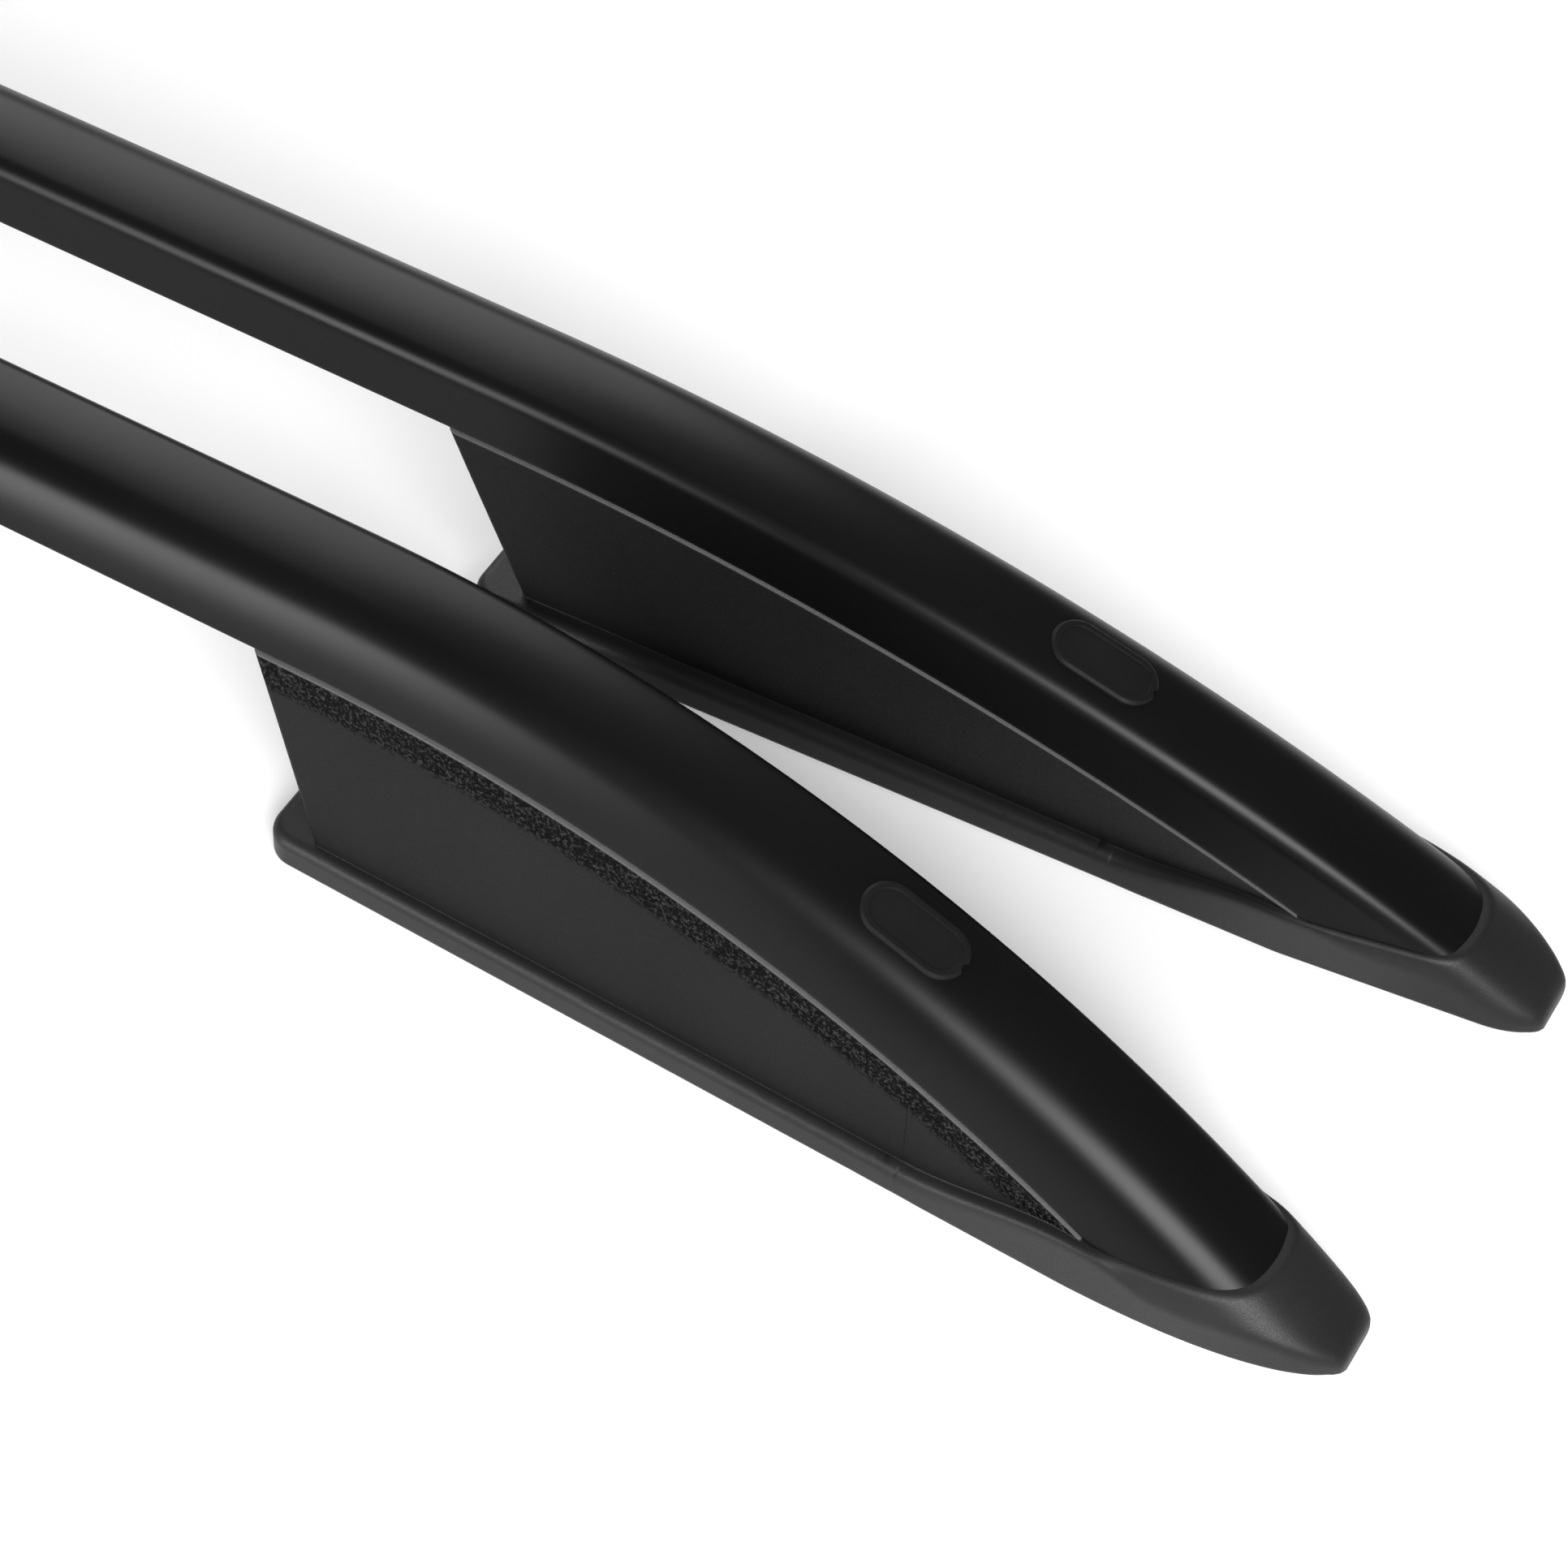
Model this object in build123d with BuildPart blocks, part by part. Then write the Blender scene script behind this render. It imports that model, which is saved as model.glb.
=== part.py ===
from build123d import *
from math import asin, cos, pi, radians, sin, sqrt
import os

# Pair of raised roof side rails: two bent hollow rails, each on a moulded foot at both ends.
# Sizes in millimetres. X runs along the rails, Z is up, the roof is Z = 0.
# One quarter of the pair (left rail, front end) is modelled and mirrored to the other three.

# Driving sizes
overall_length = 1500.0
rail_spacing = 83.0
rail_underside = 75.0

# Rail section
rail_width = 38.0
ridge_height = 17.0
ridge_lean = 3.3
ridge_radius = 3.0
crown_place = (-4.0, 18.7)
shoulder_place = (4.0, 18.2)
side_place = (13.5, 12.2)
rail_wall = 2.2
lower_edge_radius = 0.8

# End bend, in a plane that leans outward
bend_radius = 470.0
bend_lean = 12.3
bend_back = 283.5
bend_sweep = 37.0
rail_end_height = 15.0

# Foot
foot_length = 298.0
base_clear = 0.8
bead_height = 11.0
bead_reach_out = 3.5
bead_reach_in = 7.5
bead_round = 3.0
bead_lower_round = 2.0
corner_round = 8.0
rise_start = 112.0
rise_end = 62.0
rim_height = 20.5
rim_trim = 1.5
nose_tuck = 0.1
wall_draft = 0.9
inner_overhang = 4.0
overhang_place = 60.0
overhang_span = 54.0
nose_lip = 1.3
nose_shoulder = 5.0
tip_round = 3.0
tip_shrink = 0.32
web_wall = 3.2
web_back = 14.0
web_back_round = 2.0
deck = 3.0
shadow_gap = 0.8
shadow_depth = 1.6
socket_clear = 0.3
back_lean = 13.0
rib = 2.6
rib_shares = (0.815, 0.614)
pocket_front = 100.0
nose_hollow_back = 97.0
nose_hollow_front = 34.0
nose_hollow_wall = 7.5
nose_hollow_height = 12.0

# Plan of the foot, as distances back from the tip and out from the rail's centre line
nose_length = 66.0
bead_outer_back = 26.3
bead_outer_mid = 33.2
bead_inner_mid = -6.3
bead_inner_back = -18.2
tip_outer = 18.5
tip_bow = 2.4
tip_fullness = 0.55
inner_taper = 0.119
cheek_length = 14.0
cheek_depth = 6.3

# Fixings
sleeve_outer = 10.0
sleeve_bore = 6.6
sleeve_height = 28.0
sleeve_flange = 15.0
sleeve_flange_thickness = 1.5
boss_outer = 18.0
tool_hole = 13.0
pad_thickness = 2.0
pad_inset = 4.0
pad_clear = 0.3
screw_size = 6.0
screw_clear = 0.3
screw_head = 10.5
screw_head_height = 3.5
screw_end = 1.5
seat_depth = 0.3
hex_key = 4.0
nut_plate_thickness = 4.0
nut_plate_width = 18.0
nut_plate_margin = 25.0
screw_shares = (0.896, 0.718)
screw_out = 4.0

# Cap
cap_length = 29.0
cap_width = 14.8
cap_back = 129.7
cap_out = -1.5
cap_roll = 2.5
cap_rise = 0.7
cap_bevel = 0.7
cap_dish = 0.3
cap_lip = 2.1
cap_overlap = 1.4
plug_clear = 0.15
plug_depth = 8.0
plug_wall = 1.3
barb = 0.5
barb_depth = 4.2
notch_radius = 1.0
notch_depth = 1.2

tip_x = overall_length / 2
rail_y = rail_spacing / 2
half_width = rail_width / 2
bend_x = tip_x - bend_back
lean = radians(bend_lean)
bend_axis = Axis(
    (bend_x, rail_y + bend_radius * sin(lean), rail_underside - bend_radius * cos(lean)),
    (0, cos(lean), sin(lean)),
)
section_plane = Plane((bend_x, rail_y, rail_underside), x_dir=(0, 1, 0), z_dir=(1, 0, 0))


def spot(back, out):
    """Plan point given as the distance back from the nose tip and out from the rail's centre line."""
    return (tip_x - back, rail_y + out)


def lower_edge(out, x):
    """Height and side place of a line on the rail's underside where it passes x."""
    reach = bend_radius - out * sin(lean)
    turn = asin(max(0.0, x - bend_x) / reach)
    drop = reach * (1 - cos(turn))
    return rail_y + out + drop * sin(lean), rail_underside - drop * cos(lean)


def rail_plane(back, out, up):
    """Plane square to the rail at a distance back from the tip, Z along the section's up direction."""
    turn = asin(max(0.0, bend_back - back) / bend_radius)
    along = Vector(cos(turn), sin(turn) * sin(lean), -sin(turn) * cos(lean))
    across = Vector(
        -sin(turn) * sin(lean),
        cos(lean) ** 2 + sin(lean) ** 2 * cos(turn),
        sin(lean) * cos(lean) * (1 - cos(turn)),
    )
    normal = along.cross(across)
    drop = bend_radius * (1 - cos(turn))
    place = Vector(tip_x - back, rail_y + drop * sin(lean), rail_underside - drop * cos(lean))
    return Plane(place + across * out + normal * up, x_dir=along, z_dir=normal)


def cross_plane(back):
    """Plane across the rail at a distance back from the tip, facing the tip."""
    square = rail_plane(back, 0, 0)
    return Plane(square.origin, x_dir=square.y_dir, z_dir=square.x_dir)


def rail_section(growth):
    """Cross-section of the rail: leaning inner wall, small ridge, round crown, long outer roll."""
    with BuildSketch(section_plane) as section:
        with BuildLine():
            ridge = (ridge_lean - half_width, ridge_height)
            Line((-half_width, 0), ridge)
            crown = ThreePointArc(ridge, crown_place, shoulder_place)
            shoulder = TangentArc(shoulder_place, side_place, tangent=crown % 1)
            TangentArc(side_place, (half_width, 0), tangent=shoulder % 1)
            Line((half_width, 0), (-half_width, 0))
        make_face()
        fillet(section.vertices().sort_by(Axis.Y)[:2], lower_edge_radius)
        fillet(section.vertices().sort_by_distance(ridge)[0], ridge_radius)
        if growth:
            offset(amount=growth, kind=Kind.INTERSECTION)
    return section.sketch


def bent_run(section, start_x):
    """Carry a section along the straight run from start_x and round the end bend."""
    with BuildPart() as run:
        extrude(section, amount=start_x - bend_x)
        revolve(section, axis=bend_axis, revolution_arc=bend_sweep)
    return run.part


def outer_wall(back):
    """Distance out of the foot's outer side: a straight run that bows in to the tip."""
    run = (back - nose_length) / (foot_length - nose_length)
    if run > 0:
        return bead_outer_mid + (bead_outer_back - bead_outer_mid) * run
    share = 1 - back / nose_length
    return tip_outer + (bead_outer_mid - tip_outer) * (1 - share**tip_bow) ** tip_fullness


def inner_wall(back):
    """Distance out of the foot's inner side: two straight runs and a round cheek at the tip."""
    run = (back - nose_length) / (foot_length - nose_length)
    if run > 0:
        return bead_inner_mid + (bead_inner_back - bead_inner_mid) * run
    return bead_inner_mid + inner_taper * (nose_length - back) + cheek_depth * falloff(back, cheek_length)


def falloff(distance, radius):
    """Share of a quarter round that has fallen away at a distance from its end."""
    share = max(0.0, 1 - distance / radius)
    return 1 - sqrt(1 - share**2)


def form_line(x):
    """Line of the rail's form, a lip's width outside the rail, in the upright plane at x."""
    line = []
    for point in lip_points:
        out = point.Y - rail_y
        up = point.Z - rail_underside
        reach = bend_radius - out * sin(lean) + up * cos(lean)
        side = out * cos(lean) + up * sin(lean)
        fall = sqrt(reach**2 - (x - bend_x) ** 2)
        height = rail_underside - bend_radius * cos(lean) + fall * cos(lean) + side * sin(lean)
        line.append((bend_radius * sin(lean) - fall * sin(lean) + side * cos(lean), height))
    return line


def top_over(line, out):
    """Highest place of a closed line at a distance out, or zero beside it."""
    heights = [0.0]
    for start, end in zip(line, line[1:] + line[:1]):
        if min(start[0], end[0]) <= out < max(start[0], end[0]):
            heights.append(start[1] + (end[1] - start[1]) * (out - start[0]) / (end[0] - start[0]))
    return max(heights)


def bead_corners(draft):
    """Plan corners of the bead behind the rise, its sides drawn in by a draft."""
    return [
        spot(foot_length - draft, outer_wall(foot_length) - draft),
        spot(rise_start, outer_wall(rise_start) - draft),
        spot(rise_start, inner_wall(rise_start) + draft),
        spot(foot_length - draft, inner_wall(foot_length) + draft),
    ]


def nose_section(back):
    """Upright section of the nose: drafted walls, round shoulders and a top that takes up the rail's form."""
    place = max(back, tip_round)
    climb = min(max((rise_start - place) / (rise_start - rise_end), 0.0), 1.0)
    tuck = nose_tuck * (1 - climb)
    foot_in = inner_wall(place) + tuck
    foot_out = outer_wall(place) - tuck
    rim = bead_height - tuck + (rim_height - bead_height) * climb**2 * (3 - 2 * climb)
    rim += rim_trim * min(max(2 - 2 * place / rise_end, 0.0), 1.0)
    off_place = min(abs(place - overhang_place) / overhang_span, 1.0)
    overhang = inner_overhang * (1 + cos(pi * off_place)) / 2
    top_in = foot_in + (wall_draft - overhang) * rim / rim_height
    top_out = foot_out - wall_draft * rim / rim_height
    line = form_line(tip_x - place)

    def height(out):
        form = top_over(line, out) if place < rise_end else 0.0
        return min(rim, form) if form else rim

    scale = 1 - tip_shrink * falloff(back, tip_round)
    centre = (foot_in + foot_out) / 2

    def point(out, up):
        return Vector(centre + (out - centre) * scale, base_clear + (up - base_clear) * scale)

    lower = 1.13 * bead_lower_round
    round_in = min(1.13 * bead_round, 0.6 * height(top_in))
    round_out = min(1.13 * bead_round + (nose_shoulder - bead_round) * climb, 0.6 * height(top_out))
    wall_out = point(top_out, height(top_out) - round_out)
    wall_in = point(top_in, height(top_in) - round_in)
    edge_out = point(top_out, height(top_out))
    edge_in = point(top_in, height(top_in))
    step = (top_in + round_in - top_out + round_out) / 4
    tops = [point(out, height(out)) for out in [top_out - round_out + step * k for k in range(5)]]
    with BuildSketch(Plane((tip_x - back, rail_y, 0), x_dir=(0, 1, 0), z_dir=(1, 0, 0))) as section:
        with BuildLine():
            floor = Line(point(foot_in + lower, base_clear), point(foot_out - lower, base_clear))
            Bezier(floor @ 1, point(foot_out, base_clear), point(foot_out, base_clear + lower))
            Line(point(foot_out, base_clear + lower), wall_out)
            Bezier(wall_out, edge_out, tops[0])
            Spline(*tops, tangents=((tops[0] - edge_out).normalized(), (edge_in - tops[-1]).normalized()))
            Bezier(tops[-1], edge_in, wall_in)
            Line(wall_in, point(foot_in, base_clear + lower))
            Bezier(point(foot_in, base_clear + lower), point(foot_in, base_clear), floor @ 0)
        make_face()
    return section.sketch


def web_block(inset, start_x, end_x):
    """Block under the rail: its sides run from the rail's lower edges down to just inside the bead."""
    stations = [start_x + (end_x - start_x) * step / 4 for step in range(5)]
    with BuildPart() as block:
        for x in stations:
            foot_out = rail_y + outer_wall(tip_x - x) - bead_reach_out - inset
            foot_in = rail_y + inner_wall(tip_x - x) + bead_reach_in + inset
            side_out, top_out = lower_edge(half_width - inset, x)
            side_in, top_in = lower_edge(inset - half_width, x)
            over = 1.25
            with BuildSketch(Plane((x, 0, 0), x_dir=(0, 1, 0), z_dir=(1, 0, 0))):
                Polygon(
                    (foot_in, 0),
                    (foot_out, 0),
                    (foot_out + (side_out - foot_out) * over, top_out * over),
                    (foot_in + (side_in - foot_in) * over, top_in * over),
                    align=None,
                )
        loft()
    return block.part


def back_plane(inset):
    """Plane of the web's back edge, which leans back toward the top."""
    return Plane(
        (tip_x - foot_length + web_back + inset, rail_y, bead_height),
        x_dir=(0, 1, 0),
        z_dir=(rail_underside - bead_height, 0, back_lean),
    )


# Space above the rail's underside, stepped to leave a shadow line along both lower edges
with BuildSketch(section_plane) as above_rail:
    with BuildLine():
        land = half_width - shadow_depth
        Polyline(
            (-60, -shadow_gap),
            (-land, -shadow_gap),
            (-land, 0),
            (land, 0),
            (land, -shadow_gap),
            (60, -shadow_gap),
            (60, 80),
            (-60, 80),
            close=True,
        )
    make_face()

with BuildSketch(section_plane) as above_deck:
    with Locations((0, 40 - shadow_gap - deck)):
        Rectangle(120, 80)

foot_start = bend_x - 0.3 * foot_length
above_rail_run = bent_run(above_rail.sketch, foot_start)
above_deck_run = bent_run(above_deck.sketch, foot_start)
rail_envelope = bent_run(rail_section(0), 0)
rail_hollow = bent_run(rail_section(-rail_wall), 0)
socket_envelope = bent_run(rail_section(socket_clear), foot_start)
lip_wire = rail_section(nose_lip).faces()[0].outer_wire()
lip_points = [lip_wire.position_at(k / 120) for k in range(120)]

cap_plane = rail_plane(cap_back, cap_out, crown_place[1] + cap_rise).rotated((-cap_roll, 0, 0))
bolt_x = cap_plane.origin.X
bolt_y = cap_plane.origin.Y
screw_backs = [share * foot_length for share in screw_shares]
screw_planes = [rail_plane(back, screw_out, 0) for back in screw_backs]
seat = seat_depth - shadow_gap - deck

# Foot web, with its back edge leaning back toward the top
web_solid = web_block(0, tip_x - foot_length - 20, tip_x - 50)
with BuildPart() as web:
    add(web_solid)
    split(bisect_by=back_plane(0), keep=Keep.TOP)
    back_edges = web.faces().sort_by(Axis.X)[0].edges().filter_by(lambda edge: edge.length > 50)
    fillet(back_edges, web_back_round)
    add(above_rail_run, mode=Mode.SUBTRACT)

# Bead round the base, behind the rise
bead_draft = wall_draft * bead_height / rim_height
with BuildPart() as bead:
    with BuildSketch(Plane.XY.offset(base_clear)):
        Polygon(*bead_corners(0), align=None)
    with BuildSketch(Plane.XY.offset(bead_height)):
        Polygon(*bead_corners(bead_draft), align=None)
    loft(ruled=True)
    fillet(bead.faces().sort_by(Axis.X)[0].edges().filter_by(Axis.Y, reverse=True), corner_round)
    fillet(bead.faces().sort_by(Axis.Z)[-1].edges().sort_by(Axis.X)[:-1], bead_round)
    fillet(bead.faces().sort_by(Axis.Z)[0].edges().sort_by(Axis.X)[:-1], bead_lower_round)

# Nose: the bead rises in one smooth line to the rim and runs out in the rail's own form
stations = [rise_start - (rise_start - rise_end) * step / 6 for step in range(7)]
stations += [rise_end * share for share in (0.9, 0.77, 0.64, 0.52, 0.39, 0.27, 0.18, 0.1)]
stations += [tip_round]
nose_sections = [nose_section(back) for back in stations]
tip_sections = [nose_section(tip_round * share) for share in (1, 0.7, 0.4, 0.15, 0)]
with BuildPart() as nose:
    loft(nose_sections)
    loft(tip_sections, ruled=True)
    split(bisect_by=Plane.XY.offset(rim_height), keep=Keep.BOTTOM)

# Socket for the rail's end, open above the level where the rail is cut off
with BuildPart() as socket:
    add(socket_envelope)
    split(bisect_by=Plane.XY.offset(rail_end_height), keep=Keep.TOP)

# Hollow of the foot, open below, with cross ribs and a boss left standing for the roof bolt
cavity_solid = web_block(web_wall, tip_x - foot_length - 20, tip_x - pocket_front)
with BuildPart() as cavity:
    add(cavity_solid)
    split(bisect_by=back_plane(web_wall), keep=Keep.TOP)
    add(above_deck_run, mode=Mode.SUBTRACT)
    rib_places = [tip_x - share * foot_length for share in rib_shares] + [bolt_x]
    with Locations(*[(x, rail_y, 40) for x in rib_places]):
        Box(rib, 100, 100, mode=Mode.SUBTRACT)
    with Locations((bolt_x, bolt_y, 0)):
        Cylinder(boss_outer / 2, sleeve_height, align=(Align.CENTER, Align.CENTER, Align.MIN), mode=Mode.SUBTRACT)

# Shallow hollow under the nose
with BuildPart() as nose_hollow:
    with BuildSketch():
        Polygon(
            spot(nose_hollow_back, bead_inner_mid + 0.7 * nose_hollow_wall),
            spot(nose_hollow_front, bead_inner_mid + 1.4 * nose_hollow_wall),
            spot(nose_hollow_front, bead_outer_mid - nose_hollow_wall),
            spot(nose_hollow_back, bead_outer_mid - nose_hollow_wall),
            align=None,
        )
    extrude(amount=nose_hollow_height)

# Pad under the base
pad_places = [foot_length - pad_inset, nose_length, 0.6 * nose_length, 0.3 * nose_length, 2 * pad_inset]
with BuildSketch() as pad_sketch:
    pad_outer = [spot(back, outer_wall(back) - pad_inset) for back in pad_places]
    pad_inner = [spot(back, inner_wall(back) + pad_inset) for back in reversed(pad_places)]
    Polygon(*pad_outer, *pad_inner, align=None)
    fillet(pad_sketch.vertices(), pad_inset)
with BuildPart() as pad:
    extrude(pad_sketch.sketch, amount=pad_thickness)
    with Locations((bolt_x, bolt_y, 0)):
        Cylinder(sleeve_outer / 2 + pad_clear, 3 * pad_thickness, mode=Mode.SUBTRACT)

# Finished foot
with BuildPart() as foot:
    add(bead.part)
    add(nose.part)
    add(socket.part, mode=Mode.SUBTRACT)
    add(web.part)
    add(cavity.part, mode=Mode.SUBTRACT)
    add(nose_hollow.part, mode=Mode.SUBTRACT)
    split(bisect_by=Plane.XY.offset(base_clear), keep=Keep.TOP)
    extrude(pad_sketch.sketch, amount=pad_thickness, mode=Mode.SUBTRACT)
    with Locations((bolt_x, bolt_y, 0)):
        Cylinder(sleeve_outer / 2, 2 * sleeve_height, mode=Mode.SUBTRACT)
    with BuildSketch(Plane((bolt_x, bolt_y, sleeve_height))):
        Circle(tool_hole / 2 + 1)
    extrude(amount=40, mode=Mode.SUBTRACT)
    with BuildSketch(*[plane.offset(seat) for plane in screw_planes]):
        Circle(screw_head / 2 + 0.6)
    extrude(amount=-12, mode=Mode.SUBTRACT)
    with BuildSketch(*[plane.offset(seat) for plane in screw_planes]):
        Circle(screw_size / 2 + screw_clear)
    extrude(amount=12, mode=Mode.SUBTRACT)

# Steel sleeve that takes the roof bolt's clamping load
with BuildPart() as sleeve:
    with BuildSketch():
        Circle(sleeve_outer / 2)
    extrude(amount=sleeve_height)
    with BuildSketch(Plane.XY.offset(sleeve_height)):
        Circle(sleeve_flange / 2)
    extrude(amount=sleeve_flange_thickness)
    with BuildSketch():
        Circle(sleeve_bore / 2)
    extrude(amount=sleeve_height + sleeve_flange_thickness, mode=Mode.SUBTRACT)

# Threaded plate inside the rail, curved to lie on its floor
with BuildSketch(section_plane) as plate_section:
    with Locations((screw_out, rail_wall + nut_plate_thickness / 2)):
        Rectangle(nut_plate_width, nut_plate_thickness)
plate_run = bent_run(plate_section.sketch, foot_start)
with BuildPart() as nut_plate:
    add(plate_run)
    split(bisect_by=cross_plane(screw_backs[0] + nut_plate_margin), keep=Keep.TOP)
    split(bisect_by=cross_plane(screw_backs[1] - nut_plate_margin), keep=Keep.BOTTOM)
    with BuildSketch(*screw_planes):
        Circle(screw_size / 2)
    extrude(amount=20, mode=Mode.SUBTRACT)

# Screw that draws the rail down on the foot
shank = rail_wall + nut_plate_thickness + screw_end - seat
with BuildPart() as screw:
    with BuildSketch(Plane.XY.offset(seat - screw_head_height)):
        Circle(screw_head / 2)
    extrude(amount=screw_head_height)
    chamfer(screw.edges().sort_by(Axis.Z)[0], 0.6)
    with BuildSketch(Plane.XY.offset(seat)):
        Circle(screw_size / 2)
    extrude(amount=shank)
    chamfer(screw.edges().sort_by(Axis.Z)[-1], 0.6)
    with BuildSketch(Plane.XY.offset(seat - screw_head_height)):
        RegularPolygon(hex_key / 2, 6, major_radius=False)
    extrude(amount=screw_head_height * 0.6, mode=Mode.SUBTRACT)

# Cap over the bolt's access hole, its lip fitted to the rail's top
hole_length = cap_length - 2 * cap_overlap
hole_width = cap_width - 2 * cap_overlap
with BuildPart() as cap:
    with BuildSketch(cap_plane):
        SlotOverall(cap_length, cap_width)
    extrude(amount=-4)
    chamfer(cap.faces().sort_by(Axis(cap_plane.origin, cap_plane.z_dir))[-1].edges(), cap_bevel)
    add(rail_envelope, mode=Mode.SUBTRACT)
    with BuildSketch(cap_plane.offset(-cap_bevel)):
        SlotOverall(hole_length - 2 * plug_clear, hole_width - 2 * plug_clear)
    extrude(amount=cap_bevel - plug_depth)
    with BuildSketch(cap_plane.offset(-barb_depth)):
        Rectangle(hole_length * 0.3, hole_width + 2 * barb)
    extrude(amount=-1.2)
    with BuildSketch(cap_plane.offset(-plug_depth)):
        SlotOverall(hole_length - 2 * plug_wall, hole_width - 2 * plug_wall)
    extrude(amount=plug_depth - 2.5, mode=Mode.SUBTRACT)
    with BuildSketch(cap_plane):
        SlotOverall(cap_length - 2 * cap_lip, cap_width - 2 * cap_lip)
    extrude(amount=-cap_dish, mode=Mode.SUBTRACT)
    with Locations(cap_plane):
        with GridLocations(cap_length + notch_radius, 0, 2, 1):
            Cylinder(notch_radius * 1.5, 2 * notch_depth, mode=Mode.SUBTRACT)

# Rail: hollow, cut off level inside the sockets, drilled for caps, bolts and screws
with BuildPart() as rail:
    add(rail_envelope)
    add(rail_hollow, mode=Mode.SUBTRACT)
    split(bisect_by=Plane.XY.offset(rail_end_height), keep=Keep.TOP)
    with BuildSketch(cap_plane):
        SlotOverall(hole_length, hole_width)
    extrude(amount=-10, mode=Mode.SUBTRACT)
    with BuildSketch(Plane((bolt_x, bolt_y, sleeve_height))):
        Circle(tool_hole / 2)
    extrude(amount=lower_edge(0, bolt_x)[1] + 7 - sleeve_height, mode=Mode.SUBTRACT)
    with BuildSketch(*[plane.offset(-1) for plane in screw_planes]):
        Circle(screw_size / 2 + screw_clear)
    extrude(amount=rail_wall + 2, mode=Mode.SUBTRACT)
    mirror(about=Plane.YZ)

# Hand in every piece, mirrored to its rail and end
os.makedirs("parts", exist_ok=True)
sleeve_place = Location((bolt_x, bolt_y, 0))
end_pieces = {
    "foot": foot.part,
    "cap": cap.part,
    "pad": pad.part,
    "sleeve": sleeve_place * sleeve.part,
    "nut_plate": nut_plate.part,
    "screw_rear": screw_planes[0].location * screw.part,
    "screw_fore": screw_planes[1].location * screw.part,
}
for side, across in (("left", 0), ("right", 1)):
    with BuildPart() as side_rail:
        add(rail.part)
        if across:
            mirror(about=Plane.XZ, mode=Mode.REPLACE)
    side_rail.part.label = f"rail_{side}"
    export_step(side_rail.part, f"parts/rail_{side}.step")
    for end, along in (("front", 0), ("rear", 1)):
        for name, shape in end_pieces.items():
            with BuildPart() as piece:
                add(shape)
                if across:
                    mirror(about=Plane.XZ, mode=Mode.REPLACE)
                if along:
                    mirror(about=Plane.YZ, mode=Mode.REPLACE)
            piece.part.label = f"{name}_{side}_{end}"
            export_step(piece.part, f"parts/{name}_{side}_{end}.step")
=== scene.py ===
"""Scene of the roof side rail pair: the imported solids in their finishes, on a pale studio floor."""
import math

import bmesh
import bpy
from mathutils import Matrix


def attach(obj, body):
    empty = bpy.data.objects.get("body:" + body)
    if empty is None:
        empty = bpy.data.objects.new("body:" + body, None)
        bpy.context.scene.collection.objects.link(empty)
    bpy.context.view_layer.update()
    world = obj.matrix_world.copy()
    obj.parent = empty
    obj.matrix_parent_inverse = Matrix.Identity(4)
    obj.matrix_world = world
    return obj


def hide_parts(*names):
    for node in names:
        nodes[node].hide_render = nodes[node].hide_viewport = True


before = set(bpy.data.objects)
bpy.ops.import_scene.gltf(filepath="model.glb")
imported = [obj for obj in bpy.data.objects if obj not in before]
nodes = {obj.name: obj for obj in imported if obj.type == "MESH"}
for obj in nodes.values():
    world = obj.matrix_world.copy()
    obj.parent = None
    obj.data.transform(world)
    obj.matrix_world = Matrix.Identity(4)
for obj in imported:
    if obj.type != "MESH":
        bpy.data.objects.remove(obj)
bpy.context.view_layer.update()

# Sizes in millimetres as in the part, unless a comment says otherwise
MM = 1000
SHARP_ANGLE = math.radians(40)

# Rail: section points as distances out across it and up square to its underside
HALF, WALL, END_Z, LOWER_R = 19.0, 2.2, 15.0, 0.8
RIDGE, CROWN, SHOULDER, SIDE = (-15.7, 17.0), (-4.0, 18.7), (4.0, 18.2), (13.5, 12.2)
# The ridge is rounder than the solid's, for the photograph's broad highlight
RIDGE_R = 5.5
# Corners of the inner skin: their radius and how far they stand in from the walls
INNER_CORNER, INNER_SHIFT = 0.1, 0.2

# End bend, in a plane that leans outward
BEND_X, RAIL_Y, UNDERSIDE, BEND_R, LEAN = 466.5, 41.5, 75.0, 470.0, math.radians(12.3)
SIN_L, COS_L = math.sin(LEAN), math.cos(LEAN)

# Foot: back is the distance from the tip along it
TIP_X, FOOT_LENGTH, NOSE_LENGTH = 750.0, 298.0, 66.0
OUTER_BACK, OUTER_MID, TIP_OUTER, TIP_BOW, TIP_FULLNESS = 26.3, 33.2, 18.5, 2.4, 0.55
INNER_BACK, INNER_MID, INNER_TAPER, CHEEK_DEPTH, CHEEK_LENGTH = -18.2, -6.3, 0.119, 6.3, 14.0
BASE_Z, BEAD_Z, RIM_Z, RISE_START, RISE_END = 0.8, 11.0, 20.5, 112.0, 62.0
LIP, LOWER_ROUND, TIP_ROUND, WALL_DRAFT = 1.3, 2.0, 3.0, 0.9
WEB_IN, WEB_OUT, SHADOW_GAP = 7.5, 3.5, 0.8

# Form of the drawn nose, which the solid has more roughly
TIP_SHRINK, TIP_SLOPE, SHOULDER_DROP, SHOULDER_RUN = 0.22, 0.5, 18.0, 42.0
INNER_FLARE, INNER_PLACE, INNER_SPAN = 2.6, 58.0, 50.0
OUTER_FLARE, OUTER_PLACE, OUTER_SPAN = 0.8, 42.0, 36.0
NOSE_SOFT, BEAD_SOFT, TIP_SOFT, TIP_SOFT_START, TIP_SOFT_RUN = 1.2, 1.0, 0.5, 24.0, 18.0
WEB_FOOT_Z, WEB_END = 3.0, 46.0
# Behind the rise the drawn front end laps into the solid
JOINT_LAP, JOINT_TUCK, JOINT_RUN = 4.0, 0.1, 8.0

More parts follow.
